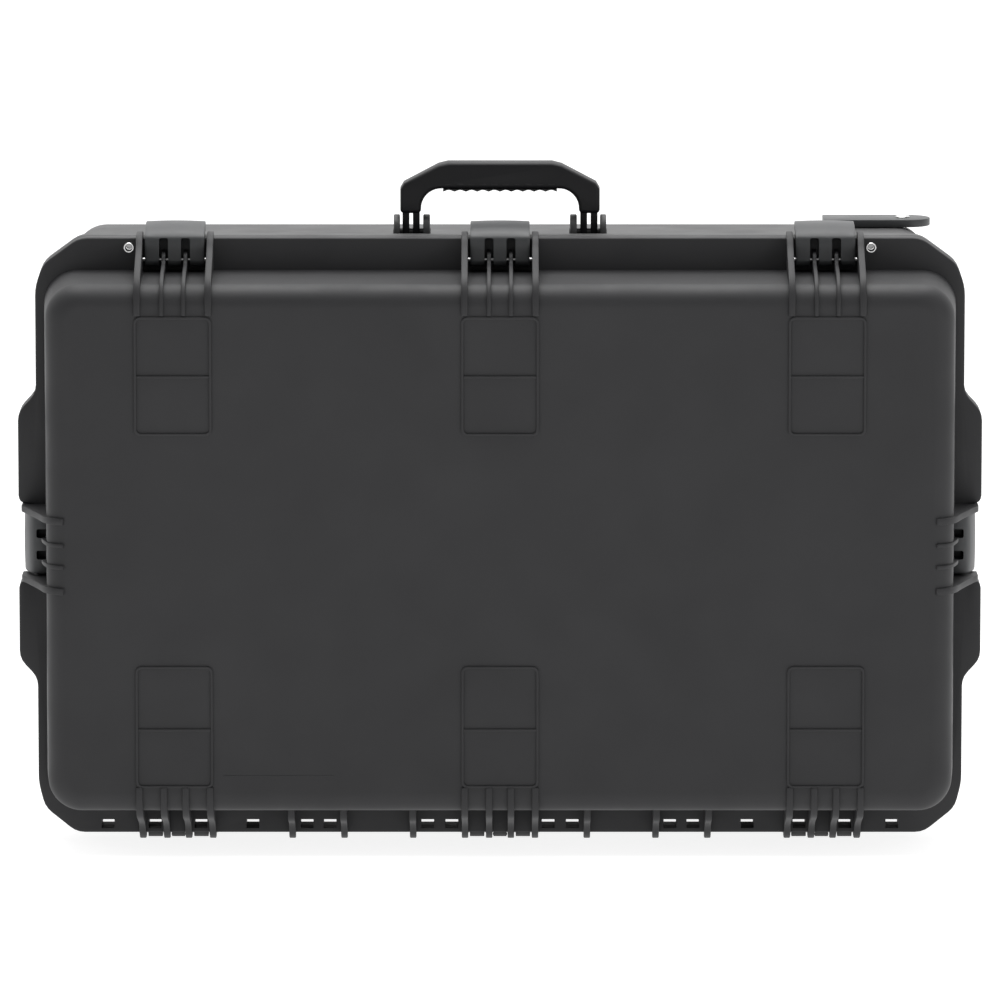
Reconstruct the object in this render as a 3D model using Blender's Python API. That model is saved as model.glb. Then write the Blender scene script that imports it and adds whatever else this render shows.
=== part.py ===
"""A large wheeled protective hard case with an inner tray, standing on its hinged edge with the lid in front.

Sizes below are in millimetres, in the case's own frame: x runs to the right, y runs from the parting plane into
the base (the lid is at negative y), and z runs up from the surface that the case stands on. to_scene() turns
them into metres and centres the case on its bounding box.
"""

import math

import bmesh
import bpy
from mathutils import Matrix, Vector

MM = 0.001
GAP = 0.3

# Parting plane and the flanges on either side of it.
PARTING_Y = -66.5
LID_FLANGE = (-14.0, -0.6)
BASE_FLANGE = (0.6, 15.0)
FLANGE_HALF = 382.4
FLANGE_LOW = 6.0
FLANGE_TOP = 503.0
BULGE_HALF = 397.5
MIDDLE_Z = (FLANGE_LOW + FLANGE_TOP) / 2

# Lid crown and base tub.
CROWN_HALF = 375.5
CROWN_LOW = 32.0
CROWN_TOP = 477.0
LID_FRONT = -90.0
TUB_HALF = 372.0
TUB_LOW = 25.0
TUB_TOP = 490.0
BASE_BACK = 220.0
CORNER = 28.0
WALL = 4.0
LID_DRAFT = (4.0, 4.0)
TUB_DRAFT = (13.0, 3.0)
TUB_SLOPE = TUB_DRAFT[1] / (BASE_BACK - 30)
CORNER_STEPS = 4
POCKET_DEPTH = 24.0
SINGLE_RIBS = (72.0, 129.0, 172.0)
FLANGE_SLOTS = (40.0, 60.0, 141.0, 160.0, 205.0, 248.0, 286.0, 325.0)

# Latches: places across the edge, and the pin's place from the flange edge.
STATIONS = (-267.0, 0.0, 267.0)
SIDE_LATCH_Z = 250.0
OUTER_RIB = (29.0, 5.4)
INNER_RIB = (9.0, 3.3)
LATCH_WIDTH = 48.8
LATCH_PIN = (-21.0, -17.0)
LATCH_PIN_RADIUS = 1.6

# Hinge on the bottom edge.
HINGE_Z = 5.0
KNUCKLE_RADIUS = 5.0
HINGE_PIN_RADIUS = 2.0
LID_KNUCKLES = (-29.0, -9.0, 9.0, 29.0)
BASE_KNUCKLES = (-19.0, 0.0, 19.0)

# Carry handle.
HANDLE_AXIS = (45.0, FLANGE_TOP - 2)
HANDLE_HALF = 82.4
HANDLE_TOP = 559.0
HANDLE_SHOULDER = 541.0
LEG_END = 517.0
GRIP_UNDER = 534.5
HANDLE_DEPTH = (33.5, 56.5)

# Padlock holes, pull ears and pressure valve.
PADLOCK = (305.0, FLANGE_TOP - 8)
EAR_RIVET = (339.0, 188.0)
VALVE = (120.0, 350.0)

# Pull handle and wheels.
TUBE_OFFSET = 90.0
TUBE_Y = 208.0
WHEEL_X, WHEEL_Y = -326.0, 188.0
WHEEL_RADIUS = 38.0
WHEEL_Z = 54.0

# Tray, its ledges and the standing feet.
TRAY_HALF = 338.0
TRAY_LOW = 56.0
TRAY_HIGH = 450.0
TRAY_FRONT = 6.0
TRAY_BACK = 58.0
TRAY_WALL = 2.5
LEDGE_HALF = 300.0
FOOT_X = (170.0, 250.0)
FOOT_Y = (150.0, 205.0)

PLASTIC = ("black moulded plastic", (0.040, 0.040, 0.042), 0.55, 0.0)
LATCH_PLASTIC = ("latch plastic", (0.075, 0.078, 0.080), 0.45, 0.0)
GRIP_RUBBER = ("grip rubber", (0.020, 0.020, 0.021), 0.80, 0.0)
STEEL = ("steel", (0.62, 0.62, 0.62), 0.30, 1.0)
ALUMINIUM = ("aluminium", (0.55, 0.56, 0.57), 0.35, 1.0)
SEAL_RUBBER = ("seal rubber", (0.015, 0.015, 0.015), 0.85, 0.0)
TRAY_PLASTIC = ("tray plastic", (0.09, 0.09, 0.095), 0.60, 0.0)


# ---------------------------------------------------------------- outlines and meshes

def arc(centre, radius, start, end, steps):
    """Points of an arc in a plane, angles in degrees, both ends included."""
    points = []
    for step in range(steps + 1):
        angle = math.radians(start + (end - start) * step / steps)
        points.append((centre[0] + radius * math.cos(angle), centre[1] + radius * math.sin(angle)))
    return points


def circle(centre, radius, steps):
    return arc(centre, radius, 0, 360, steps)[:-1]


def rounded_rect(half, low, high, radius, steps=CORNER_STEPS):
    """Outline in x and z of an upright rectangle with round corners, anticlockwise from the lower right."""
    corners = ((half - radius, low + radius, -90), (half - radius, high - radius, 0),
               (radius - half, high - radius, 90), (radius - half, low + radius, 180))
    points = []
    for x, z, start in corners:
        points += arc((x, z), radius, start, start + 90, steps)
    return points


def loft(rings):
    """Closed solid through rings of equally many 3-D points."""
    count = len(rings[0])
    points = [point for ring in rings for point in ring]
    faces = []
    for row in range(len(rings) - 1):
        for column in range(count):
            after = (column + 1) % count
            faces.append((row * count + column, row * count + after,
                          (row + 1) * count + after, (row + 1) * count + column))
    faces.append(tuple(range(count)))
    faces.append(tuple(range((len(rings) - 1) * count, len(rings) * count)))
    return points, faces


def lift(outline, axis, value):
    """Puts a flat outline at one place along an axis; its two numbers are the other two axes in order."""
    spots = {"x": lambda a, b: (value, a, b), "y": lambda a, b: (a, value, b), "z": lambda a, b: (a, b, value)}
    return [spots[axis](a, b) for a, b in outline]


def prism(outline, axis, low, high):
    return loft([lift(outline, axis, low), lift(outline, axis, high)])


def box(low, high):
    outline = [(low[0], low[1]), (high[0], low[1]), (high[0], high[1]), (low[0], high[1])]
    return prism(outline, "z", low[2], high[2])


def ring_prism(outer, inner, axis, low, high):
    """A closed band between two outlines of equally many points."""
    count = len(outer)
    rings = [lift(outer, axis, low), lift(outer, axis, high), lift(inner, axis, high), lift(inner, axis, low)]
    points = [point for ring in rings for point in ring]
    faces = []
    for row in range(4):
        below, above = row * count, (row + 1) % 4 * count
        for column in range(count):
            after = (column + 1) % count
            faces.append((below + column, below + after, above + after, above + column))
    return points, faces


def joined(*shapes):
    points, faces = [], []
    for shape_points, shape_faces in shapes:
        start = len(points)
        points += shape_points
        faces += [tuple(start + index for index in face) for face in shape_faces]
    return points, faces


def moved(shape, matrix):
    return [tuple(matrix @ Vector(point)) for point in shape[0]], shape[1]


# ---------------------------------------------------------------- objects

def material(look):
    name, colour, roughness, metallic = look
    found = bpy.data.materials.get(name)
    if found:
        return found
    made = bpy.data.materials.new(name)
    made.use_nodes = True
    shader = made.node_tree.nodes["Principled BSDF"]
    shader.inputs["Base Color"].default_value = (*colour, 1.0)
    shader.inputs["Roughness"].default_value = roughness
    shader.inputs["Metallic"].default_value = metallic
    return made


def to_scene(point):
    return Vector(point) * MM


def solid(name, shape, look, origin=(0.0, 0.0, 0.0), smooth=35.0):
    """One named object; its origin is the given point of the case's frame."""
    points, faces = shape
    mesh = bpy.data.meshes.new(name)
    mesh.from_pydata([(Vector(point) - Vector(origin)) * MM for point in points], [], faces)
    tidy = bmesh.new()
    tidy.from_mesh(mesh)
    bmesh.ops.recalc_face_normals(tidy, faces=tidy.faces)
    tidy.to_mesh(mesh)
    tidy.free()
    mesh.shade_smooth()
    mesh.set_sharp_from_angle(angle=math.radians(smooth))
    thing = bpy.data.objects.new(name, mesh)
    thing.data.materials.append(material(look))
    thing.parent = case_frame
    thing.location = to_scene(origin)
    bpy.context.scene.collection.objects.link(thing)
    return thing


def combine(target, operation, name, shape):
    """Adds a Boolean of the target with a hidden helper of the given shape, and returns the helper."""
    helper = solid(name, shape, PLASTIC)
    helper.hide_render = True
    helper.display_type = "WIRE"
    modifier = target.modifiers.new(name, "BOOLEAN")
    modifier.operation = operation
    modifier.solver = "EXACT"
    modifier.object = helper
    return helper


def add(target, name, shape):
    return combine(target, "UNION", name, shape)


def cut(target, name, shape):
    return combine(target, "DIFFERENCE", name, shape)


# ---------------------------------------------------------------- shells

def flange_outline():
    """Flange outline, anticlockwise: cut corners, and a bulge on each side beside the side latch."""
    notch = OUTER_RIB[0] + OUTER_RIB[1] / 2 + GAP
    right = [(351, FLANGE_LOW), (377, 27), (FLANGE_HALF, 48), (FLANGE_HALF, 136), (BULGE_HALF, 152),
             (BULGE_HALF, SIDE_LATCH_Z - notch), (FLANGE_HALF, SIDE_LATCH_Z - notch),
             (FLANGE_HALF, SIDE_LATCH_Z + notch), (BULGE_HALF, SIDE_LATCH_Z + notch),
             (BULGE_HALF, 358), (FLANGE_HALF, 374), (FLANGE_HALF, 462), (376, 481), (346, FLANGE_TOP)]
    return right + [(-x, z) for x, z in reversed(right)]


def dished(half, low, high, corner, start, end, draft, fillet, steps):
    """A tub-like block with a quarter-round edge; draft is how far its ends and its long sides lean in."""
    way = 1 if end > start else -1
    rings = [lift(rounded_rect(half, low, high, corner), "y", start)]
    for step in range(steps + 1):
        angle = math.radians(90 * step / steps)
        y = end - way * fillet * (1 - math.sin(angle))
        rounding = fillet * (1 - math.cos(angle))
        across, up = draft[0] + rounding, draft[1] + rounding
        rings.append(lift(rounded_rect(half - across, low + up, high - up, corner - 0.8 * rounding), "y", y))
    return loft(rings)


def latch_places():
    """Name, and the matrix from a latch's frame, x across, y deep and z out of the edge, to the case's."""
    places = []
    for name, x in zip(("left", "centre", "right"), STATIONS):
        places.append((name, Matrix.Translation((x, 0, FLANGE_TOP))))
    for name, side in (("side_left", -1), ("side_right", 1)):
        turn = Matrix.Rotation(side * math.pi / 2, 4, "Y")
        places.append((name, Matrix.Translation((side * FLANGE_HALF, 0, SIDE_LATCH_Z)) @ turn))
    return places


def latch_ribs(name):
    """Four ribs of one latch, which run from the flange edge over the crown, in the latch frame."""
    if name.startswith("side"):
        outer = [(-1.5, 12.2), (-22, 12.2), (-34, 7), (-62, -3), (-80, -9), (-89, -16), (-92, -25), (-75, -34),
                 (-1.5, -20)]
        inner = [(-8, -9), (-24, -10.5), (-29, -13.5), (-34, -19.5), (-51, -19.5), (-57, -8), (-62, -6.5),
                 (-80, -11), (-89, -17), (-92, -25), (-75, -34), (-8, -30)]
    else:
        outer = [(-1.5, 4), (-23, 2), (-36, -8), (-62, -17), (-84, -27), (-92, -41), (-93, -54), (-80, -56),
                 (-70, -42), (-1.5, -38)]
        inner = [(-8, -9), (-24, -10.5), (-29, -13.5), (-35, -19), (-62, -22), (-84, -29.5), (-92, -42),
                 (-93, -54), (-80, -56), (-70, -42), (-8, -38)]
    ribs = []
    for (place, thick), outline in ((OUTER_RIB, outer), (INNER_RIB, inner)):
        for side in (-1, 1):
            middle = side * place
            ribs.append(prism(outline, "x", middle - thick / 2, middle + thick / 2))
    return joined(*ribs)


def hinge_rib(x, with_knuckle, thick=5.4):
    """Lid rib down to the hinge line: with a knuckle it starts on the crown's face, without one under it."""
    if with_knuckle:
        outline = [(-80, 62), (-93, 58), (-92.5, 46), (-84, 34), (-60, 25), (-32, 16), (-19, 5), (-9, 0)]
        outline += arc((0, HINGE_Z), KNUCKLE_RADIUS, -90, 120, 8)
    else:
        outline = [(-66, 37), (-60, 25), (-32, 16), (-19, 5), (-9, 0), (-1, 0), (-1, 9)]
    outline += [(-10, 40), (-64, 46)]
    return prism(outline, "x", x - thick / 2, x + thick / 2)


def knuckle_room(x, thick):
    """Space for the other side's knuckle to turn in."""
    return prism(circle((0, HINGE_Z), KNUCKLE_RADIUS + 0.9, 14), "x", x - thick / 2, x + thick / 2)


def pin_bore(x, half):
    return prism(circle((0, HINGE_Z), HINGE_PIN_RADIUS + GAP, 10), "x", x - half, x + half)


def lid_pocket_blocks():
    """Walls left inside the lid behind the pockets of the side latches."""
    deep = FLANGE_HALF - POCKET_DEPTH - WALL
    blocks = []
    for side in (-1, 1):
        x = sorted((side * deep, side * (CROWN_HALF + 1)))
        blocks.append(box((x[0], -62, SIDE_LATCH_Z - 32), (x[1], -7, SIDE_LATCH_Z + 32)))
    return joined(*blocks)


def side_latch_pockets():
    """Room for the fingers of a side latch between its ribs, cut into the crown's wall."""
    shapes = []
    for name, matrix in latch_places():
        if not name.startswith("side"):
            continue
        inner_face = INNER_RIB[0] - INNER_RIB[1] / 2 - GAP / 2
        inner_back = INNER_RIB[0] + INNER_RIB[1] / 2 + GAP / 2
        outer_face = OUTER_RIB[0] - OUTER_RIB[1] / 2 - GAP / 2
        for low, high in ((-outer_face, -inner_back), (-inner_face, inner_face), (inner_back, outer_face)):
            shapes.append(moved(box((low, -54, -POCKET_DEPTH), (high, -13.6, 20)), matrix))
    return joined(*shapes)


def build_lid():
    lid = solid("lid_shell", prism(flange_outline(), "y", *LID_FLANGE), PLASTIC, (0, 0, HINGE_Z))
    add(lid, "lid_crown_form",
        dished(CROWN_HALF, CROWN_LOW, CROWN_TOP, CORNER, -6, LID_FRONT, LID_DRAFT, 18, 4))
    add(lid, "latch_rib_form", joined(*(moved(latch_ribs(name), matrix) for name, matrix in latch_places())))
    single_ribs = [side * x for side in (-1, 1) for x in SINGLE_RIBS]
    station_ribs = [station + offset for station in STATIONS for offset in LID_KNUCKLES]
    ribs = [hinge_rib(x, True) for x in station_ribs] + [hinge_rib(x, False) for x in single_ribs]
    add(lid, "hinge_rib_form", joined(*ribs))
    hollow = cut(lid, "lid_hollow_form",
                 dished(CROWN_HALF - WALL, CROWN_LOW + WALL, CROWN_TOP - WALL, CORNER - WALL,
                        5, LID_FRONT + WALL, LID_DRAFT, 14, 3))
    cut(hollow, "pocket_block_form", lid_pocket_blocks())
    cut(lid, "pocket_form", side_latch_pockets())
    swing = box((-12, -54.3, -19.6), (12, -33, 20))
    cut(lid, "side_latch_swing_form", joined(*(moved(swing, matrix) for _, matrix in latch_places()[3:])))
    cut(lid, "seal_groove_form", seal_band(0, -5.35, 2.1))
    gaps = [knuckle_room(station + x, 14.2) for station in STATIONS for x in BASE_KNUCKLES]
    cut(lid, "base_knuckle_room", joined(*gaps))
    cut(lid, "hinge_bore_form", joined(*(pin_bore(x, 40) for x in STATIONS)))
    bore = prism(circle(LATCH_PIN, LATCH_PIN_RADIUS + GAP, 8), "x", -40, 40)
    cut(lid, "latch_bore_form", joined(*(moved(bore, matrix) for _, matrix in latch_places())))
    slots = [box((x - 5.3, -20, 9.5), (x + 5.3, 3, 17)) for x in slot_places()]
    holes = [prism(circle((side * PADLOCK[0], PADLOCK[1]), 4.5, 12), "y", -20, 3) for side in (-1, 1)]
    cut(lid, "slot_form", joined(*slots, *holes))
    return lid


def seal_band(clear, low, high):
    """Band round the opening for the seal; clear shrinks its section on each side."""
    bottom, top = FLANGE_LOW + 15, FLANGE_TOP - 15
    outer = rounded_rect(379 - clear, bottom + clear, top - clear, 44 - clear)
    inner = rounded_rect(373 + clear, bottom + 6 - clear, top - 6 + clear, 38 + clear)
    return ring_prism(outer, inner, "y", low, high)


def slot_places():
    """Places across the lower flange of its small square slots."""
    return [side * x for side in (-1, 1) for x in FLANGE_SLOTS]


def base_knuckle(x):
    """Knuckle and the web that ties it to the base flange."""
    outline = arc((0, HINGE_Z), KNUCKLE_RADIUS, 45, 285, 9) + [(14.4, 0.3), (14.4, 11.5), (7, 11.5)]
    return prism(outline, "x", x - 6, x + 6)


def wheel_blocks():
    low, high = WHEEL_Z - 12, WHEEL_Z + 24
    top = 2 * MIDDLE_Z
    return joined(box((-380, 138, low - 30), (-276, 240, high + 6)),
                  box((-380, 138, top - high - 6), (-276, 240, top - low + 30)))


def build_base():
    base = solid("base_shell", prism(flange_outline(), "y", *BASE_FLANGE), PLASTIC)
    add(base, "tub_form", dished(TUB_HALF, TUB_LOW, TUB_TOP, CORNER, 6, BASE_BACK, TUB_DRAFT, 24, 4))
    lugs = []
    y, z = HANDLE_AXIS
    lug = [(y - 14, z - 30), (y + 14, z - 30), (y + 14, z)]
    lug += arc(HANDLE_AXIS, 14, 15, 165, 6) + [(y - 14, z)]
    for side in (-1, 1):
        for low, high in ((57.9, 63.5), (82.8, 87.8)):
            lugs.append(prism(lug, "x", *sorted((side * low, side * high))))
    add(base, "lug_form", joined(*lugs))
    places = [station + x for station in STATIONS for x in BASE_KNUCKLES]
    add(base, "base_knuckle_form", joined(*(base_knuckle(x) for x in places)))
    hollow = cut(base, "base_hollow_form",
                 dished(TUB_HALF - WALL, TUB_LOW + WALL, TUB_TOP - WALL, CORNER - WALL,
                        -5, BASE_BACK - WALL, TUB_DRAFT, 20, 3))
    cut(hollow, "wheel_block_form", wheel_blocks())
    tubes = (MIDDLE_Z - TUBE_OFFSET, MIDDLE_Z + TUBE_OFFSET)
    cut(hollow, "tube_block_form", joined(*(box((-300, 190, z - 17), (380, 240, z + 17)) for z in tubes)))
    top = 2 * MIDDLE_Z
    low, high = WHEEL_Z - 14, WHEEL_Z + 14
    wells = [box((-400, 144, bottom), (-282, 250, bottom + 28)) for bottom in (low, top - high)]
    cut(base, "wheel_well_form", joined(*wells))
    axles = [prism(circle((WHEEL_X, WHEEL_Y), 4.3, 10), "z", z - 19, z + 19) for z in (WHEEL_Z, top - WHEEL_Z)]
    cut(base, "axle_bore_form", joined(*axles))
    channels = [box((-285, TUBE_Y - 12, z - 12), (400, 260, z + 12)) for z in tubes]
    cut(base, "channel_form", joined(*channels))
    gaps = [knuckle_room(station + x, 7.2) for station in STATIONS for x in LID_KNUCKLES]
    cut(base, "lid_knuckle_room", joined(*gaps))
    cut(base, "base_hinge_bore_form", joined(*(pin_bore(x, 40) for x in STATIONS)))
    handle_bore = prism(circle(HANDLE_AXIS, 2.8, 10), "x", -100, 100)
    holes = [prism(circle((side * PADLOCK[0], PADLOCK[1]), 3.6, 12), "y", -3, 20) for side in (-1, 1)]
    rivets = [prism(circle(EAR_RIVET, 2.4, 10), "z", z - 20, z + 20) for z in (TUB_LOW, TUB_TOP)]
    slots = [box((x - 5.3, -3, 9.5), (x + 5.3, 20, 17)) for x in slot_places()]
    cut(base, "base_hole_form", joined(handle_bore, *holes, *slots))
    cut(base, "rivet_bore_form", joined(*rivets))
    cut(base, "valve_bore_form", prism(circle(VALVE, 6.3, 12), "x", 340, 400))
    return base


# ---------------------------------------------------------------- latches, hinges and seal

def build_latch(name, matrix):
    """Latch with a front plate between the ribs and a crowned top that reaches back over both flanges."""
    y, z = LATCH_PIN
    side = [(-26.6, -12), (-27, -1), (-24, 3.5), (-14, 8), (-2, 10.2), (12, 10.6), (21, 9.5), (23.5, 6.5),
            (22, 2.6), (-15, 2), (-15.6, -12)] + arc(LATCH_PIN, 5.4, 15, -195, 8)
    pieces = prism(side, "x", -LATCH_WIDTH / 2, LATCH_WIDTH / 2)
    origin = matrix @ Vector((0, y, z))
    latch = solid(f"latch_{name}", moved(pieces, matrix), LATCH_PLASTIC, origin)
    slots = [box((side * 9 - 3.7, -40, -30), (side * 9 + 3.7, -13, 1.4)) for side in (-1, 1)]
    bore = prism(circle(LATCH_PIN, LATCH_PIN_RADIUS + GAP, 8), "x", -40, 40)
    cut(latch, f"latch_{name}_slots", moved(joined(*slots), matrix))
    cut(latch, f"latch_{name}_bore", moved(bore, matrix))
    pin = prism(circle(LATCH_PIN, LATCH_PIN_RADIUS, 10), "x", -31.2, 31.2)
    solid(f"latch_pin_{name}", moved(pin, matrix), STEEL)


def build_fittings():
    for name, x in zip(("left", "centre", "right"), STATIONS):
        pin = prism(circle((0, HINGE_Z), HINGE_PIN_RADIUS, 12), "x", x - 33, x + 33)
        solid(f"hinge_pin_{name}", pin, STEEL)
    solid("seal_ring", seal_band(GAP, -5.0, 0.2), SEAL_RUBBER, (0, 0, HINGE_Z))
    for name, side in (("left", -1), ("right", 1)):
        centre = (side * PADLOCK[0], PADLOCK[1])
        bush = ring_prism(circle(centre, 4.2, 16), circle(centre, 2.9, 16), "y", -15, -0.9)
        solid(f"padlock_bush_{name}", bush, STEEL)
        x = sorted((side * FOOT_X[0], side * FOOT_X[1]))
        foot = [(x[0], FOOT_Y[0]), (x[1], FOOT_Y[0]), (x[1], FOOT_Y[1]), (x[0], FOOT_Y[1])]
        solid(f"standing_foot_{name}", foot_block(foot), GRIP_RUBBER)
    solid("pressure_valve", prism(circle(VALVE, 13, 16), "x", 366.8, 371), LATCH_PLASTIC)


def foot_block(outline):
    """Block under the bottom wall; its top follows the wall's draft."""
    top = [(x, y, TUB_LOW - 0.8 + TUB_SLOPE * (y - 6)) for x, y in outline]
    return loft([lift(outline, "z", 0), top])


# ---------------------------------------------------------------- carry handle

def build_carry_handle():
    shoulder, inner, corner = 47.0, 65.2, 16.5
    outer_right = [(HANDLE_HALF, LEG_END), (HANDLE_HALF, HANDLE_SHOULDER), (shoulder, HANDLE_TOP)]
    inner_right = [(inner, LEG_END)] + arc((inner - corner, GRIP_UNDER + 3 - corner), corner, 0, 90, 4)
    outline = inner_right[::-1] + outer_right
    outline += [(-x, z) for x, z in reversed(outline)]
    frame = solid("carry_handle", prism(outline, "y", *HANDLE_DEPTH), PLASTIC, (0, *HANDLE_AXIS))
    y, z = HANDLE_AXIS
    stem = [(y - 6, LEG_END + 3)] + arc(HANDLE_AXIS, 6, 180, 360, 6) + [(y + 6, LEG_END + 3)]
    for side in (-1, 1):
        name = "left" if side < 0 else "right"
        for part, low, high in (("outer", 75.0, 80.6), ("inner", 66.4, 72.0)):
            add(frame, f"stem_{part}_{name}", prism(stem, "x", *sorted((side * low, side * high))))
        pin = prism(circle(HANDLE_AXIS, 2.5, 12), "x", *sorted((side * 57.4, side * 88.3)))
        solid(f"carry_handle_pin_{name}", pin, STEEL)
    cut(frame, "handle_bore_form", prism(circle(HANDLE_AXIS, 2.8, 10), "x", -100, 100))
    solid("carry_handle_grip", grip_block(), GRIP_RUBBER, (0, *HANDLE_AXIS))


def grip_block():
    """Soft pad under the handle with shallow finger scallops along its lower side."""
    half, pitch, depth = 47.0, 8.55, 1.6
    count = int(2 * half / pitch)
    below = []
    for index in range(2 * count + 1):
        x = -half + index * half / count
        below.append((x, GRIP_UNDER + (0 if index % 2 == 0 else depth)))
    outline = below + [(half, GRIP_UNDER + 2.7), (-half, GRIP_UNDER + 2.7)]
    return prism(outline, "y", HANDLE_DEPTH[0] + 1.5, HANDLE_DEPTH[1] - 1.5)


# ---------------------------------------------------------------- pull handle

def tube(half, wall, low, high, z):
    """Square tube along x."""
    outlines = []
    for reach in (half, half - wall):
        outlines.append([(TUBE_Y - reach, z - reach), (TUBE_Y + reach, z - reach),
                         (TUBE_Y + reach, z + reach), (TUBE_Y - reach, z + reach)])
    return ring_prism(*outlines, "x", low, high)


def build_pull_handle():
    for name, z in (("lower", MIDDLE_Z - TUBE_OFFSET), ("upper", MIDDLE_Z + TUBE_OFFSET)):
        solid(f"pull_guide_tube_{name}", tube(11.6, 1.5, -284, 356, z), ALUMINIUM)
        solid(f"pull_middle_tube_{name}", tube(9.7, 1.5, -270, 362, z), ALUMINIUM)
        solid(f"pull_inner_tube_{name}", tube(7.8, 1.5, -262, 368.6, z), ALUMINIUM)
    low, high = MIDDLE_Z - TUBE_OFFSET - 20, MIDDLE_Z + TUBE_OFFSET + 20
    bracket = solid("pull_handle_bracket", box((360, 186, low), (366, 222, high)), PLASTIC)
    holes = [box((350, TUBE_Y - 10.2, MIDDLE_Z + z - 10.2), (380, TUBE_Y + 10.2, MIDDLE_Z + z + 10.2))
             for z in (-TUBE_OFFSET, TUBE_OFFSET)]
    cut(bracket, "bracket_hole_form", joined(*holes))
    reach = TUBE_OFFSET + 10
    outline = [(369, MIDDLE_Z - reach), (388, MIDDLE_Z - reach), (394, MIDDLE_Z - reach + 8),
               (394, MIDDLE_Z + reach - 8), (388, MIDDLE_Z + reach), (369, MIDDLE_Z + reach),
               (369, MIDDLE_Z + reach - 20), (381, MIDDLE_Z + reach - 24), (381, MIDDLE_Z - reach + 24),
               (369, MIDDLE_Z - reach + 20)]
    grip = solid("pull_grip", prism(outline, "y", 197, 220), GRIP_RUBBER)
    cut(grip, "button_well_form", box((386, 202.6, MIDDLE_Z - 13), (400, 214.4, MIDDLE_Z + 13)))
    button = box((390.5, 203, MIDDLE_Z - 12.6), (396.8, 214, MIDDLE_Z + 12.6))
    solid("pull_release_button", button, LATCH_PLASTIC)


def build_ears():
    """Flat riveted ears that hold the pull handle's end of the tub at its two long walls."""
    for name, sign, wall in (("top", 1, TUB_TOP), ("bottom", -1, TUB_LOW)):
        outer = [(272, 168)] + arc((342, 188), 20, -90, 90, 8) + [(272, 208)]
        faces = []
        for rise in (0.6, 7.0):
            faces.append([(x, y, wall + sign * (rise - TUB_SLOPE * (y - 6))) for x, y in outer])
        ear = solid(f"pull_ear_{name}", loft(faces), LATCH_PLASTIC)
        cut(ear, f"ear_bore_{name}", prism(circle(EAR_RIVET, 2.6, 10), "z", wall - 30, wall + 30))
        level = wall + sign * 4.9
        head = prism(circle(EAR_RIVET, 6, 16), "z", *sorted((level, level + sign * 2.2)))
        rivet = solid(f"ear_rivet_{name}", head, STEEL)
        add(rivet, f"rivet_shank_{name}",
            prism(circle(EAR_RIVET, 2.1, 10), "z", *sorted((level + sign, level - sign * 16))))


# ---------------------------------------------------------------- wheels and tray

def build_wheels():
    for name, z in (("lower", WHEEL_Z), ("upper", 2 * MIDDLE_Z - WHEEL_Z)):
        centre = (WHEEL_X, WHEEL_Y)
        origin = (*centre, z)
        hub = ring_prism(circle(centre, 27, 24), circle(centre, 4.3, 24), "z", z - 10, z + 10)
        solid(f"wheel_hub_{name}", hub, LATCH_PLASTIC, origin)
        tyre = ring_prism(circle(centre, WHEEL_RADIUS, 24), circle(centre, 27.4, 24), "z", z - 12, z + 12)
        solid(f"wheel_tyre_{name}", tyre, GRIP_RUBBER, origin)
        solid(f"wheel_axle_{name}", prism(circle(centre, 3.9, 12), "z", z - 18.6, z + 18.6), STEEL)


def build_tray():
    """Tray with two dividers and a handle wall, which rests on two ledges in the base."""
    front, back, wall, low, high = TRAY_FRONT, TRAY_BACK, TRAY_WALL, TRAY_LOW, TRAY_HIGH
    lean = 4.0
    outer = loft([lift(rounded_rect(TRAY_HALF, low, high, 30), "y", front),
                  lift(rounded_rect(TRAY_HALF - lean, low + lean, high - lean, 28), "y", back)])
    origin = (0, back, MIDDLE_Z)
    tray = solid("tray_shell", outer, TRAY_PLASTIC, origin)
    half, bottom, top = TRAY_HALF - wall, low + wall, high - wall
    inner = loft([lift(rounded_rect(half, bottom, top, 28), "y", front - 4),
                  lift(rounded_rect(half - lean, bottom + lean, top - lean, 26), "y", back - wall)])
    cut(tray, "tray_hollow_form", inner)
    for name, x in (("left", -165.0), ("right", 165.0)):
        divider = box((x - 1.5, 12, low + 9), (x + 1.5, 55, high - 9))
        solid(f"tray_divider_{name}", divider, TRAY_PLASTIC, origin)
    handle = solid("tray_handle", box((-4, 7, low + 9), (4, 55, high - 9)), TRAY_PLASTIC, origin)
    slot = [(14, MIDDLE_Z - 50), (32, MIDDLE_Z - 50), (32, MIDDLE_Z + 50), (14, MIDDLE_Z + 50)]
    cut(handle, "tray_handle_slot", prism(slot, "x", -10, 10))
    for name, bottom, top in (("lower", TUB_LOW + 9.5, low + 10), ("upper", high - 10, TUB_TOP - 9.5)):
        solid(f"tray_ledge_{name}", box((-LEDGE_HALF, 58.4, bottom), (LEDGE_HALF, 66, top)), PLASTIC)


for leftover in list(bpy.data.objects):
    bpy.data.objects.remove(leftover, do_unlink=True)

case_frame = bpy.data.objects.new("case_frame", None)
case_frame.location = (0.0, PARTING_Y * MM, 0.0)
bpy.context.scene.collection.objects.link(case_frame)

build_lid()
build_base()
for latch_name, latch_matrix in latch_places():
    build_latch(latch_name, latch_matrix)
build_fittings()
build_carry_handle()
build_pull_handle()
build_ears()
build_wheels()
build_tray()
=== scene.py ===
"""Looks of the wheeled hard case: shells, latches, handles, wheels and tray around the CAD frame.

Sizes are in millimetres in the case's own frame, as in the CAD model: x to the right, y from the parting
plane into the base, z up. The parting plane's place in the frame comes from the seal's box. The camera,
the lights and the floor are in metres.
"""

import math

import bmesh
import bpy
from mathutils import Matrix, Vector


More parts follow.
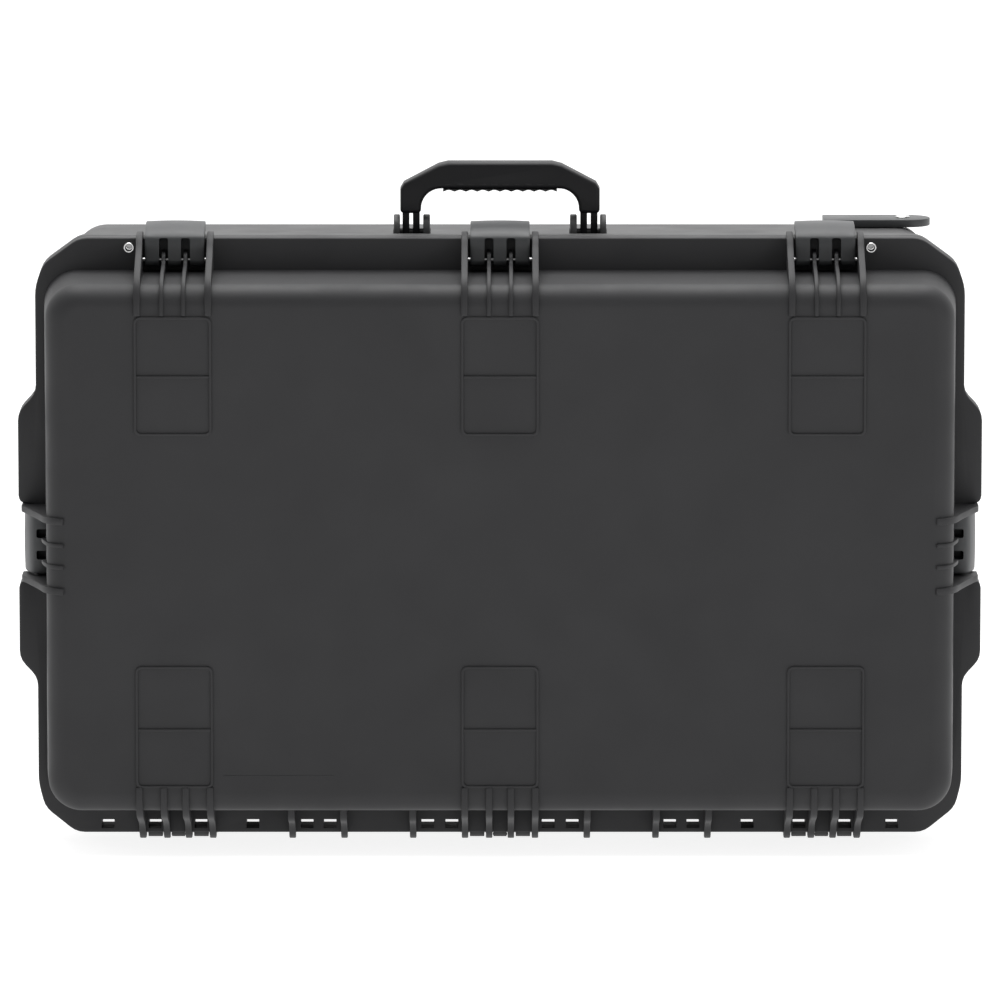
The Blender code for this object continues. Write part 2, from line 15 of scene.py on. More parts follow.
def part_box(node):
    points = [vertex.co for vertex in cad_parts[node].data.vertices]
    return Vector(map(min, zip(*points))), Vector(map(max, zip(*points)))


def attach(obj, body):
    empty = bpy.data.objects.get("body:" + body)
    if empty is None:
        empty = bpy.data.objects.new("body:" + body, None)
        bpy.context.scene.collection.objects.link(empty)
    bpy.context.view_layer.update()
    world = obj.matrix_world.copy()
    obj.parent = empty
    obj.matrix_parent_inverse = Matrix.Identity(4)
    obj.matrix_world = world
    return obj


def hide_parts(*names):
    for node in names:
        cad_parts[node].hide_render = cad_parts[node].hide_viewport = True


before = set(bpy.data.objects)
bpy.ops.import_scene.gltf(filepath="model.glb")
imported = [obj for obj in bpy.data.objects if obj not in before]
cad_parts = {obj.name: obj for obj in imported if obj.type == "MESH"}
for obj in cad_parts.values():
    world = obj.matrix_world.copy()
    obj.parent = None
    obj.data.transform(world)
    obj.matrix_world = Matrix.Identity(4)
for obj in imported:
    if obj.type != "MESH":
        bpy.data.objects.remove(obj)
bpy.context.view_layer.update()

MM = 0.001
GAP = 0.3
SEAL_FRONT = -5.0
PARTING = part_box("seal_ring")[0].y - SEAL_FRONT * MM

# Flanges.
LID_FLANGE = (-14.0, -0.6)
BASE_FLANGE = (0.6, 15.0)
FLANGE_HALF, FLANGE_LOW, FLANGE_TOP = 382.4, 6.0, 503.0
BULGE_HALF = 397.3
MIDDLE_Z = (FLANGE_LOW + FLANGE_TOP) / 2
SIDES = (-1, 1)
SLOT_RIGHT = (40.0, 60.0, 141.0, 160.0, 205.0, 248.0, 286.0, 325.0)
SLOT_HALF, SLOT_LOW, SLOT_HIGH = 5.3, 9.5, 17.0

# Lid crown and base tub.
CROWN_HALF, CROWN_LOW, CROWN_TOP, LID_FRONT = 375.5, 32.0, 477.0, -90.0
TUB_HALF, TUB_LOW, TUB_TOP, BASE_BACK = 372.0, 25.0, 490.0, 220.0
CORNER = 28.0
WALL = 4.0
LID_DRAFT = (4.0, 4.0)
LID_FILLET, LID_INNER_FILLET = 18.0, 14.0
TUB_DRAFT = (13.0, 3.0)
TUB_FILLET, TUB_INNER_FILLET = 24.0, 20.0
TUB_START = 6.0
TUB_SLOPE = TUB_DRAFT[1] / (BASE_BACK - TUB_FILLET - TUB_START)

# Latches and hinge.
STATIONS = (-267.0, 0.0, 267.0)
SIDE_LATCH_Z = 250.0
OUTER_RIB = (29.0, 5.4)
INNER_RIB = (9.0, 3.3)
LATCH_HALF = 24.4
LATCH_PIN = (-21.0, -17.0)
LATCH_BORE = 1.9
SIDE_LATCH_ROOM = 0.15
HINGE_Z = 5.0
KNUCKLE_RADIUS = 5.0
HINGE_BORE = 2.3
PIN_REACH = 40.0
RIB_THICK = 5.4
LID_KNUCKLES = (-29.0, -9.0, 9.0, 29.0)
BASE_KNUCKLES = (-19.0, 0.0, 19.0)
SINGLE_RIBS = (72.0, 129.0, 172.0)

# Handles, wheels and fittings.
HANDLE_AXIS = (45.0, FLANGE_TOP - 2)
HANDLE_BORE = 2.8
HANDLE_DEPTH = (33.5, 56.5)
HANDLE_HALF, HANDLE_TOP, HANDLE_SHOULDER = 82.4, 559.0, 541.0
LEG_END, GRIP_UNDER = 517.0, 534.5
PADLOCK = (305.0, FLANGE_TOP - 8)
EAR_RIVET = (339.0, 188.0)
VALVE = (120.0, 350.0)
TUBE_OFFSET, TUBE_Y = 90.0, 208.0
TUBES_Z = (MIDDLE_Z - TUBE_OFFSET, MIDDLE_Z + TUBE_OFFSET)
FOOT_X, FOOT_Y = (170.0, 250.0), (150.0, 205.0)
WHEEL = (-326.0, 188.0)
WHEEL_RADIUS = 38.0
WHEELS_Z = (54.0, 2 * MIDDLE_Z - 54.0)

# Tray.
TRAY_HALF, TRAY_LOW, TRAY_HIGH = 338.0, 56.0, 450.0
TRAY_FRONT, TRAY_BACK, TRAY_WALL = 6.0, 58.0, 2.5
DIVIDER_X = 165.0

# Camera: the distance is from the parting plane, and the width is what the picture covers there.
CAMERA_DISTANCE, CAMERA_TILT, PICTURE_WIDTH, CAMERA_HEIGHT = 8.0, 9.0, 0.8264, 0.2828

# Floor and lights.
FLOOR_HALF, FLOOR_LEVEL, FLOOR_GLOW = 40.0, -0.4 * MM, 0.86
LIGHTS_AIM = (0.0, 0.0, 0.3)


# ---------------------------------------------------------------- outlines and meshes

def arc(centre, radius, start, end, steps):
    """Points of an arc in a plane, angles in degrees, both ends included."""
    points = []
    for step in range(steps + 1):
        angle = math.radians(start + (end - start) * step / steps)
        points.append((centre[0] + radius * math.cos(angle), centre[1] + radius * math.sin(angle)))
    return points


def circle(centre, radius, steps=32):
    return arc(centre, radius, 0, 360, steps)[:-1]


def rounded_box(low, high, radius, steps=12):
    """Outline of an upright rectangle from low to high with round corners."""
    corners = ((high[0] - radius, low[1] + radius, -90), (high[0] - radius, high[1] - radius, 0),
               (low[0] + radius, high[1] - radius, 90), (low[0] + radius, low[1] + radius, 180))
    points = []
    for x, z, start in corners:
        points += arc((x, z), radius, start, start + 90, steps)
    return points


def rounded_rect(half, low, high, radius, steps=12):
    return rounded_box((-half, low), (half, high), radius, steps)


def smooth_line(points, steps=4):
    """Curve through the given points, as a Catmull-Rom spline."""
    padded = [points[0]] + list(points) + [points[-1]]
    curve = []
    for index in range(1, len(padded) - 2):
        before, start, end, after = (Vector(p) for p in padded[index - 1:index + 3])
        for step in range(steps):
            t = step / steps
            bend = (2 * before - 5 * start + 4 * end - after) * t * t
            twist = (3 * start - before - 3 * end + after) * t ** 3
            curve.append(tuple(0.5 * (2 * start + (end - before) * t + bend + twist)))
    return curve + [tuple(points[-1])]


def round_corners(outline, radius, steps=4):
    """Cuts each corner of a closed outline back to a short curve."""
    points = []
    for index, corner in enumerate(outline):
        here = Vector(corner)
        before, after = Vector(outline[index - 1]), Vector(outline[(index + 1) % len(outline)])
        reach = min(radius, (before - here).length / 2.2, (after - here).length / 2.2)
        start = here + (before - here).normalized() * reach
        end = here + (after - here).normalized() * reach
        for step in range(steps + 1):
            t = step / steps
            points.append(tuple((1 - t) ** 2 * start + 2 * t * (1 - t) * here + t * t * end))
    return points


def loft(rings):
    """Closed solid through rings of equally many 3-D points."""
    count = len(rings[0])
    points = [point for ring in rings for point in ring]
    faces = []
    for row in range(len(rings) - 1):
        for column in range(count):
            after = (column + 1) % count
            faces.append((row * count + column, row * count + after,
                          (row + 1) * count + after, (row + 1) * count + column))
    faces.append(tuple(range(count)))
    faces.append(tuple(range((len(rings) - 1) * count, len(rings) * count)))
    return points, faces


def lift(outline, axis, value):
    """Puts a flat outline at one place along an axis: its numbers are the other two, in x, y, z order."""
    spot = "xyz".index(axis)
    return [(*point[:spot], value, *point[spot:]) for point in outline]


def prism(outline, axis, low, high):
    return loft([lift(outline, axis, low), lift(outline, axis, high)])


def block(low, high):
    outline = [(low[0], low[1]), (high[0], low[1]), (high[0], high[1]), (low[0], high[1])]
    return prism(outline, "z", low[2], high[2])


def closed_band(rings):
    """Surface through rings and back to the first one, as for a tyre."""
    count = len(rings[0])
    points = [point for ring in rings for point in ring]
    faces = []
    for row in range(len(rings)):
        below, above = row * count, (row + 1) % len(rings) * count
        for column in range(count):
            after = (column + 1) % count
            faces.append((below + column, below + after, above + after, above + column))
    return points, faces


def ring_prism(outer, inner, axis, low, high):
    places = ((outer, low), (outer, high), (inner, high), (inner, low))
    return closed_band([lift(outline, axis, value) for outline, value in places])


def turned(profile, centre, steps=64):
    """Solid of revolution about an upright axis: profile holds (radius, z) round a closed loop."""
    return closed_band([lift(circle(centre, radius, steps), "z", z) for radius, z in profile])


def joined(*shapes):
    points, faces = [], []
    for shape_points, shape_faces in shapes:
        start = len(points)
        points += shape_points
        faces += [tuple(start + index for index in face) for face in shape_faces]
    return points, faces


def moved(shape, matrix):
    return [tuple(matrix @ Vector(point)) for point in shape[0]], shape[1]


# ---------------------------------------------------------------- objects

def raw_object(name, shape, bevel=0.0, segments=2):
    """An object of the shape in the frame, in metres, with a Bevel of the given width in millimetres."""
    points, faces = shape
    mesh = bpy.data.meshes.new(name)
    mesh.from_pydata([(x * MM, y * MM + PARTING, z * MM) for x, y, z in points], [], faces)
    tidy = bmesh.new()
    tidy.from_mesh(mesh)
    bmesh.ops.recalc_face_normals(tidy, faces=tidy.faces)
    tidy.to_mesh(mesh)
    tidy.free()
    thing = bpy.data.objects.new(name, mesh)
    bpy.context.scene.collection.objects.link(thing)
    if bevel:
        modifier = thing.modifiers.new("edges", "BEVEL")
        modifier.width = bevel * MM
        modifier.segments = segments
        modifier.limit_method = "ANGLE"
        modifier.angle_limit = math.radians(32)
    return thing


def combine(target, operation, shape, bevel=0.0, segments=2):
    """Adds a Boolean of the shape to an object. The shape's own object is returned, to be cut in turn."""
    helper = raw_object("form", shape, bevel, segments)
    helper.hide_render = True
    modifier = target.modifiers.new(operation.lower(), "BOOLEAN")
    modifier.operation = operation
    modifier.solver = "EXACT"
    modifier.object = helper
    return helper


def add(target, shape, bevel=0.0, segments=2):
    return combine(target, "UNION", shape, bevel, segments)


def cut(target, shape, bevel=0.0, segments=2):
    return combine(target, "DIFFERENCE", shape, bevel, segments)


def baked(thing, smooth=32.0):
    """Applies an object's modifiers and removes the helper shapes that they used."""
    helpers = [m.object for m in thing.modifiers if m.type == "BOOLEAN"]
    helpers += [m.object for helper in helpers for m in helper.modifiers if m.type == "BOOLEAN"]
    bpy.context.view_layer.update()
    evaluated = thing.evaluated_get(bpy.context.evaluated_depsgraph_get())
    mesh = bpy.data.meshes.new_from_object(evaluated)
    thing.modifiers.clear()
    thing.data = mesh
    for helper in helpers:
        bpy.data.objects.remove(helper, do_unlink=True)
    tidy = bmesh.new()
    tidy.from_mesh(mesh)
    bmesh.ops.remove_doubles(tidy, verts=tidy.verts, dist=1e-6)
    bmesh.ops.dissolve_degenerate(tidy, edges=tidy.edges, dist=1e-6)
    tidy.to_mesh(mesh)
    tidy.free()
    mesh.shade_smooth()
    mesh.set_sharp_from_angle(angle=math.radians(smooth))
    return thing


def finished(thing, look, body, slot, *nodes, smooth=32.0):
    """Bakes a piece, gives it its material, ties it to its body and hides the CAD nodes that it replaces."""
    baked(thing, smooth)
    thing.data.materials.clear()
    thing.data.materials.append(look)
    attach(thing, body)
    if nodes:
        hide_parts(*nodes)
    return thing


def piece(name, shape, look, body, slot, *nodes, bevel=0.6, segments=2, smooth=32.0):
    return finished(raw_object(name, shape, bevel, segments), look, body, slot, *nodes, smooth=smooth)


# ---------------------------------------------------------------- materials

ROUGHNESS_SPREAD = 0.05
GRAIN_HEIGHT = 0.4 * MM


def surface(name, colour, roughness, metallic=0.0, grain=1100.0, bump=0.10, mottle=0.06, sheen=0.4):
    """Moulded or metal surface: fine grain in the bump, slow variation of colour and of roughness."""
    made = bpy.data.materials.new(name)
    made.use_nodes = True
    nodes, links = made.node_tree.nodes, made.node_tree.links
    shader = nodes["Principled BSDF"]
    shader.inputs["Metallic"].default_value = metallic
    shader.inputs["Specular IOR Level"].default_value = sheen
    place = nodes.new("ShaderNodeTexCoord")

    def noise(scale, detail):
        texture = nodes.new("ShaderNodeTexNoise")
        texture.inputs["Scale"].default_value = scale
        texture.inputs["Detail"].default_value = detail
        links.new(place.outputs["Object"], texture.inputs["Vector"])
        return texture.outputs["Fac"]

    def spread(value, low, high):
        scaled = nodes.new("ShaderNodeMapRange")
        scaled.inputs["From Min"].default_value = 0.3
        scaled.inputs["From Max"].default_value = 0.7
        scaled.inputs["To Min"].default_value = low
        scaled.inputs["To Max"].default_value = high
        links.new(value, scaled.inputs["Value"])
        return scaled.outputs["Result"]

    mix = nodes.new("ShaderNodeMix")
    mix.data_type = "RGBA"
    mix.inputs["A"].default_value = (*(c * (1 - mottle) for c in colour), 1)
    mix.inputs["B"].default_value = (*(min(1, c * (1 + mottle)) for c in colour), 1)
    links.new(spread(noise(7.0, 3.0), 0, 1), mix.inputs["Factor"])
    links.new(mix.outputs["Result"], shader.inputs["Base Color"])
    shine = spread(noise(24.0, 4.0), roughness - ROUGHNESS_SPREAD, roughness + ROUGHNESS_SPREAD)
    links.new(shine, shader.inputs["Roughness"])
    relief = nodes.new("ShaderNodeBump")
    relief.inputs["Strength"].default_value = bump
    relief.inputs["Distance"].default_value = GRAIN_HEIGHT
    links.new(noise(grain, 2.0), relief.inputs["Height"])
    links.new(relief.outputs["Normal"], shader.inputs["Normal"])
    return made


CASE = surface("case plastic", (0.024, 0.024, 0.0255), 0.57, bump=0.16, sheen=0.34)
# The base is the lid's case plastic, but its colour is painted lighter to stand in for the light from above
# on its top wall: painted light.
LIT_BASE_PLASTIC = surface("base plastic painted lighter", (0.042, 0.042, 0.043), 0.52, bump=0.16)
LATCH = surface("latch plastic", (0.044, 0.046, 0.048), 0.45, bump=0.08)
HANDLE = surface("handle plastic", (0.006, 0.006, 0.007), 0.50, bump=0.10, sheen=0.25)
RUBBER = surface("grip rubber", (0.012, 0.012, 0.013), 0.75, grain=700.0, bump=0.30)
STEEL = surface("steel", (0.66, 0.66, 0.66), 0.26, metallic=1.0, grain=500.0, bump=0.05, mottle=0.04)
ALUMINIUM = surface("aluminium", (0.30, 0.305, 0.31), 0.38, metallic=1.0, grain=900.0, bump=0.08, mottle=0.05)
DARK_STEEL = surface("dark steel", (0.1, 0.1, 0.1), 0.40, metallic=1.0, grain=500.0, bump=0.05, mottle=0.05)
SEAL = surface("seal rubber", (0.012, 0.012, 0.012), 0.85, bump=0.20)
TRAY = surface("tray plastic", (0.085, 0.086, 0.090), 0.55, bump=0.18)
TYRE = surface("tyre rubber", (0.018, 0.018, 0.018), 0.80, grain=600.0, bump=0.35)


# ---------------------------------------------------------------- shells

def flange_outline():
    """Both flanges' outline: cut corners, and a bulge on each side with a notch for the side latch."""
    notch = OUTER_RIB[0] + OUTER_RIB[1] / 2 + GAP
    right = [(351, FLANGE_LOW), (377, 27), (FLANGE_HALF, 48), (FLANGE_HALF, 136), (BULGE_HALF, 152),
             (BULGE_HALF, SIDE_LATCH_Z - notch), (FLANGE_HALF, SIDE_LATCH_Z - notch),
             (FLANGE_HALF, SIDE_LATCH_Z + notch), (BULGE_HALF, SIDE_LATCH_Z + notch),
             (BULGE_HALF, 358), (FLANGE_HALF, 374), (FLANGE_HALF, 462), (376, 481), (346, FLANGE_TOP)]
    return round_corners(right + [(-x, z) for x, z in reversed(right)], 7, 3)


def dished(half, low, high, corner, start, end, draft, fillet, steps):
    """Tub or crown, from its open end: the walls lean in by the draft and end in a fillet."""
    way = 1 if end > start else -1
    rings = [lift(rounded_rect(half, low, high, corner), "y", start)]
    for step in range(steps + 1):
        angle = math.radians(90 * step / steps)
        y = end - way * fillet * (1 - math.sin(angle))
        rounding = fillet * (1 - math.cos(angle))
        across, up = draft[0] + rounding, draft[1] + rounding
        rings.append(lift(rounded_rect(half - across, low + up, high - up, corner - 0.8 * rounding), "y", y))
    return loft(rings)


def latch_places():
    """Name, and the matrix from a latch's frame, x across, y deep and z out of the edge, to the case's."""
    places = []
    for name, x in zip(("left", "centre", "right"), STATIONS):
        places.append((name, Matrix.Translation((x, 0, FLANGE_TOP))))
    for name, side in (("side_left", -1), ("side_right", 1)):
        turn = Matrix.Rotation(side * math.pi / 2, 4, "Y")
        places.append((name, Matrix.Translation((side * FLANGE_HALF, 0, SIDE_LATCH_Z)) @ turn))
    return places


def latch_ribs(name):
    """Two outer and two inner ribs that carry a latch, in the latch's frame."""
    if name.startswith("side"):
        outer = [(-1.5, 12), (-12, 12.1), (-22, 11.8), (-34, 7), (-62, -3), (-80, -9), (-89, -16), (-92, -25)]
        inner = [(-8, -9), (-24, -10.5), (-29, -13.5), (-34, -19.5), (-51, -19.5), (-57, -8), (-62, -6.5),
                 (-80, -11), (-89, -17), (-92, -25)]
        outer_end, inner_end = [(-75, -34), (-1.5, -20)], [(-75, -34), (-8, -30)]
    else:
        outer = [(-1.5, 4), (-12, 3.6), (-23, 1.5), (-36, -8), (-62, -17), (-80, -24), (-89, -33),
                 (-92.4, -44), (-92.6, -54)]
        inner = [(-8, -9), (-24, -10.5), (-29, -13.5), (-35, -19), (-62, -22), (-80, -27), (-89, -35),
                 (-92.4, -45), (-92.6, -54)]
        outer_end, inner_end = [(-80, -56), (-70, -42), (-1.5, -38)], [(-80, -56), (-70, -42), (-8, -38)]
    ribs = []
    for (place, thick), top, end in ((OUTER_RIB, outer, outer_end), (INNER_RIB, inner, inner_end)):
        outline = smooth_line(top) + end
        for side in SIDES:
            middle = side * place
            ribs.append(prism(outline, "x", middle - thick / 2, middle + thick / 2))
    return joined(*ribs)


def hinge_rib(x, with_knuckle):
    """Rib from the lid's face down to its lower edge, with a knuckle of the hinge or without one."""
    lower = [(-60, 25), (-32, 16), (-19, 5), (-9, 0.3)]
    if with_knuckle:
        outline = [(-80, 62)] + smooth_line([(-92.6, 58), (-92.4, 48), (-89, 39), (-80, 31)] + lower)
        outline += arc((0, HINGE_Z), KNUCKLE_RADIUS, -90, 120, 16)
    else:
        outline = smooth_line([(-66, 37)] + lower) + [(-1, 0.3), (-1, 9)]
    outline += [(-10, 40), (-64, 46)]
    return prism(outline, "x", x - RIB_THICK / 2, x + RIB_THICK / 2)


def knuckle_room(x, thick):
    """Room in one shell for a knuckle of the other."""
    return prism(circle((0, HINGE_Z), KNUCKLE_RADIUS + 0.9, 24), "x", x - thick / 2, x + thick / 2)


def hinge_bore(x):
    return prism(circle((0, HINGE_Z), HINGE_BORE, 20), "x", x - PIN_REACH, x + PIN_REACH)


def latch_bore():
    return prism(circle(LATCH_PIN, LATCH_BORE, 16), "x", -PIN_REACH, PIN_REACH)


def padlock_holes(radius, low, high):
    return [prism(circle((side * PADLOCK[0], PADLOCK[1]), radius), "y", low, high) for side in SIDES]


def flange_slots(low, high):
    return [block((side * x - SLOT_HALF, low, SLOT_LOW), (side * x + SLOT_HALF, high, SLOT_HIGH))
            for side in SIDES for x in SLOT_RIGHT]


def side_latch_pockets():
    """The hollows between the ribs of both side latches."""
    shapes = []
    inner_face = INNER_RIB[0] - INNER_RIB[1] / 2 - SIDE_LATCH_ROOM
    inner_back = INNER_RIB[0] + INNER_RIB[1] / 2 + SIDE_LATCH_ROOM
    outer_face = OUTER_RIB[0] - OUTER_RIB[1] / 2 - SIDE_LATCH_ROOM
    for _, matrix in latch_places()[3:]:
        for low, high in ((-outer_face, -inner_back), (-inner_face, inner_face), (inner_back, outer_face)):
            shapes.append(moved(block((low, -54, -24), (high, -13.6, 20)), matrix))
    return joined(*shapes)


def panel_lines():
    """Raised lines on the lid's face: two stacked frames under each top latch and over each hinge group."""
    half, width, out, back = 31.7, 2.0, LID_FRONT - 1.7, LID_FRONT + 1.5
    frames = []
    for x in STATIONS:
        for low, bar, high in ((350.0, 398.5, 448.0), (57.7, 106.0, 159.0)):
            outer = rounded_box((x - half, low), (x + half, high), 5, 5)
            inner = rounded_box((x - half + width, low + width), (x + half - width, high - width), 3.5, 5)
            frames.append(ring_prism(outer, inner, "y", out, back))
            reach = half - width - 0.05
            frames.append(block((x - reach, out, bar - width / 2), (x + reach, back, bar + width / 2)))
    frames.append(block((-227, LID_FRONT - 0.3, 67.5), (-136, LID_FRONT + 1, 68.3)))
    return joined(*frames)


def seal_groove():
    bottom, top = FLANGE_LOW + 15, FLANGE_TOP - 15
    outer = rounded_rect(379, bottom, top, 44)
    inner = rounded_rect(373, bottom + 6, top - 6, 38)
    return ring_prism(outer, inner, "y", SEAL_FRONT - 0.35, 2.1)


def build_lid():
    lid = raw_object("lid_body", prism(flange_outline(), "y", *LID_FLANGE), 1.4, 3)
    add(lid, dished(CROWN_HALF, CROWN_LOW, CROWN_TOP, CORNER, -6, LID_FRONT, LID_DRAFT, LID_FILLET, 12))
    add(lid, joined(*(moved(latch_ribs(name), matrix) for name, matrix in latch_places())), 0.8)
    station_ribs = [station + offset for station in STATIONS for offset in LID_KNUCKLES]
    ribs = [hinge_rib(x, True) for x in station_ribs]
    ribs += [hinge_rib(side * x, False) for side in SIDES for x in SINGLE_RIBS]
    add(lid, joined(*ribs), 0.8)
    add(lid, panel_lines(), 0.7)
    hollow = cut(lid, dished(CROWN_HALF - WALL, CROWN_LOW + WALL, CROWN_TOP - WALL, CORNER - WALL,
                             5, LID_FRONT + WALL, LID_DRAFT, LID_INNER_FILLET, 6))
    side_walls = []
    for side in SIDES:
        middle = side * 365.5
        low, high = (middle - 11.1, -62, SIDE_LATCH_Z - 32), (middle + 11.1, -7, SIDE_LATCH_Z + 32)
        side_walls.append(block(low, high))
    cut(hollow, joined(*side_walls))
    cut(lid, side_latch_pockets())
    swing = block((-12, -54.3, -19.6), (12, -33, 20))
    cut(lid, joined(*(moved(swing, matrix) for _, matrix in latch_places()[3:])))
    cut(lid, seal_groove())
    cut(lid, joined(*(knuckle_room(station + x, 14.2) for station in STATIONS for x in BASE_KNUCKLES)))
    cut(lid, joined(*(hinge_bore(x) for x in STATIONS)))
    cut(lid, joined(*(moved(latch_bore(), matrix) for _, matrix in latch_places())))
    cut(lid, joined(*flange_slots(-20, 3), *padlock_holes(4.5, -20, 3)))
    finished(lid, CASE, "lid", "case_plastic", "lid_shell")


def handle_bore():
    return prism(circle(HANDLE_AXIS, HANDLE_BORE), "x", -100, 100)


def base_knuckle(x):
    outline = arc((0, HINGE_Z), KNUCKLE_RADIUS, 45, 285, 16) + [(14.4, 0.3), (14.4, 11.5), (7, 11.5)]
    return prism(outline, "x", x - 6, x + 6)


def handle_lugs():
    half = 14
    y, z = HANDLE_AXIS
    foot = [(y - half, z - 30), (y + half, z - 30), (y + half, z)]
    outline = foot + arc(HANDLE_AXIS, half, 15, 165, 14) + [(y - half, z)]
    return [prism(outline, "x", *sorted((side * low, side * high)))
            for side in SIDES for low, high in ((57.9, 63.5), (82.8, 87.8))]


def wheel_cuts():
    """Walls round the wheels, which the tub's hollow leaves out, then the wells and the axle bores."""
    walls, wells, bores = [], [], []
    for z, outward in zip(WHEELS_Z, SIDES):
        low, high = sorted((z - outward * 30, z + outward * 42))
        walls.append(block((-380, 138, low), (-276, 240, high)))
        wells.append(block((-400, 144, z - 14), (-282, 250, z + 14)))
        bores.append(prism(circle(WHEEL, 4.3), "z", z - 19, z + 19))
    return joined(*walls), joined(*wells), joined(*bores)


def build_base():
    base = raw_object("base_body", prism(flange_outline(), "y", *BASE_FLANGE), 1.4, 3)
    add(base, dished(TUB_HALF, TUB_LOW, TUB_TOP, CORNER, TUB_START, BASE_BACK, TUB_DRAFT, TUB_FILLET, 12))
    add(base, joined(*handle_lugs()), 0.9)
    places = [station + x for station in STATIONS for x in BASE_KNUCKLES]
    add(base, joined(*(base_knuckle(x) for x in places)), 0.5)
    hollow = cut(base, dished(TUB_HALF - WALL, TUB_LOW + WALL, TUB_TOP - WALL, CORNER - WALL,
                              -5, BASE_BACK - WALL, TUB_DRAFT, TUB_INNER_FILLET, 6))
    wheel_walls, wheel_wells, axle_bores = wheel_cuts()
    cut(hollow, wheel_walls)
    cut(hollow, joined(*(block((-300, 190, z - 17), (380, 240, z + 17)) for z in TUBES_Z)))
    cut(base, wheel_wells)
    cut(base, axle_bores)
    cut(base, joined(*(block((-285, TUBE_Y - 12, z - 12), (400, 260, z + 12)) for z in TUBES_Z)))
    cut(base, joined(*(knuckle_room(station + x, 7.2) for station in STATIONS for x in LID_KNUCKLES)))
    cut(base, joined(*(hinge_bore(x) for x in STATIONS)))
    cut(base, joined(handle_bore(), *padlock_holes(3.6, -3, 20), *flange_slots(-3, 20)))
    cut(base, joined(*(prism(circle(EAR_RIVET, 2.4), "z", z - 20, z + 20) for z in (TUB_LOW, TUB_TOP))))
    cut(base, prism(circle(VALVE, 6.3), "x", 340, 400))
    finished(base, LIT_BASE_PLASTIC, "base", "case_plastic", "base_shell")


# ---------------------------------------------------------------- latches

def latch_section(x):
    """Side view of a latch at one place across it: the arched rear edge reaches back most in the middle."""
    arch = 1 - (x / LATCH_HALF) ** 2
    back = 2.6 * arch - 1.6
    top = smooth_line([(-26.9, -9), (-27, -2), (-24.6, 3.2), (-14, 7.8), (-2, 10.0), (11, 10.5),
                       (20.5 + back, 9.3), (22.6 + back, 6.3)])
    top = [(y, z + 0.5 * arch if z > 4 else z) for y, z in top]
    return top + [(21.2 + back, 2.6), (-15, 2), (-15.6, -12)] + arc(LATCH_PIN, 5.4, 15, -195, 16)


def build_latches():
    """Five latches with finger slots. The side latches' slots end sooner, so no light shows through."""
    steps = 16
    for name, matrix in latch_places():
        rings = []
        for step in range(steps + 1):
            x = LATCH_HALF * (2 * step / steps - 1)
            rings.append(lift(latch_section(x), "x", x))
        latch = raw_object(f"latch_body_{name}", moved(loft(rings), matrix), 0.7)
        slot_top = -0.3 if name.startswith("side") else 1.4
        slots = []
        for side in SIDES:
            middle = side * INNER_RIB[0]
            slot = rounded_box((middle - 3.7, -40), (middle + 3.7, slot_top), 1.6, 4)
            slots.append(prism(slot, "y", -40, -13))
        cut(latch, moved(joined(*slots), matrix))
        cut(latch, moved(latch_bore(), matrix))
        finished(latch, LATCH, f"latch_{name}", "latch_plastic", f"latch_{name}")


# ---------------------------------------------------------------- handles

def build_carry_handle():
    shoulder, inner, corner = 47.0, 65.2, 16.5
    outer_right = [(HANDLE_HALF, LEG_END), (HANDLE_HALF, HANDLE_SHOULDER - 4),
                   (HANDLE_HALF - 3, HANDLE_SHOULDER + 1), (shoulder + 4, HANDLE_TOP - 2),
                   (shoulder - 4, HANDLE_TOP)]
    inner_right = [(inner, LEG_END)] + arc((inner - corner, GRIP_UNDER + 3 - corner), corner, 0, 90, 12)
    outline = inner_right[::-1] + outer_right
    outline += [(-x, z) for x, z in reversed(outline)]
    handle = raw_object("carry_handle_frame", prism(outline, "y", *HANDLE_DEPTH), 3.2, 4)
    y, z = HANDLE_AXIS
    stem = [(y - 6, LEG_END + 3)] + arc(HANDLE_AXIS, 6, 180, 360, 14) + [(y + 6, LEG_END + 3)]
    for side in SIDES:
        for low, high in ((75.0, 80.6), (66.4, 72.0)):
            add(handle, prism(stem, "x", *sorted((side * low, side * high))), 0.6)
    cut(handle, handle_bore())
    finished(handle, HANDLE, "carry_handle", "case_plastic", "carry_handle")
    build_carry_grip()


def build_carry_grip():
    """The handle's rubber pad, scalloped underneath, and a row of dashes on its front."""
    half, scallops, depth, steps = 47.0, 10, 1.4, 8
    below = []
    for index in range(scallops * steps + 1):
        x = -half + 2 * half * index / (scallops * steps)
        below.append((x, GRIP_UNDER + 0.6 + depth * abs(math.sin(math.pi * index / steps)) ** 1.3))
    grip = prism(below + [(half, GRIP_UNDER + 2.7), (-half, GRIP_UNDER + 2.7)], "y", 35.0, 55.0)
    piece("carry_handle_pad", grip, RUBBER, "carry_handle", "grip_rubber", "carry_handle_grip",
          bevel=0.0, smooth=40)
    pitch = 2 * half / scallops
    dashes = [block((-half + (index + 0.22) * pitch, HANDLE_DEPTH[0] - 0.6, GRIP_UNDER + 6.2),
                    (-half + (index + 0.78) * pitch, HANDLE_DEPTH[0] + 0.5, GRIP_UNDER + 7.4))
              for index in range(scallops)]
    piece("carry_handle_dashes", joined(*dashes), RUBBER, "carry_handle", "grip_rubber", bevel=0.25)


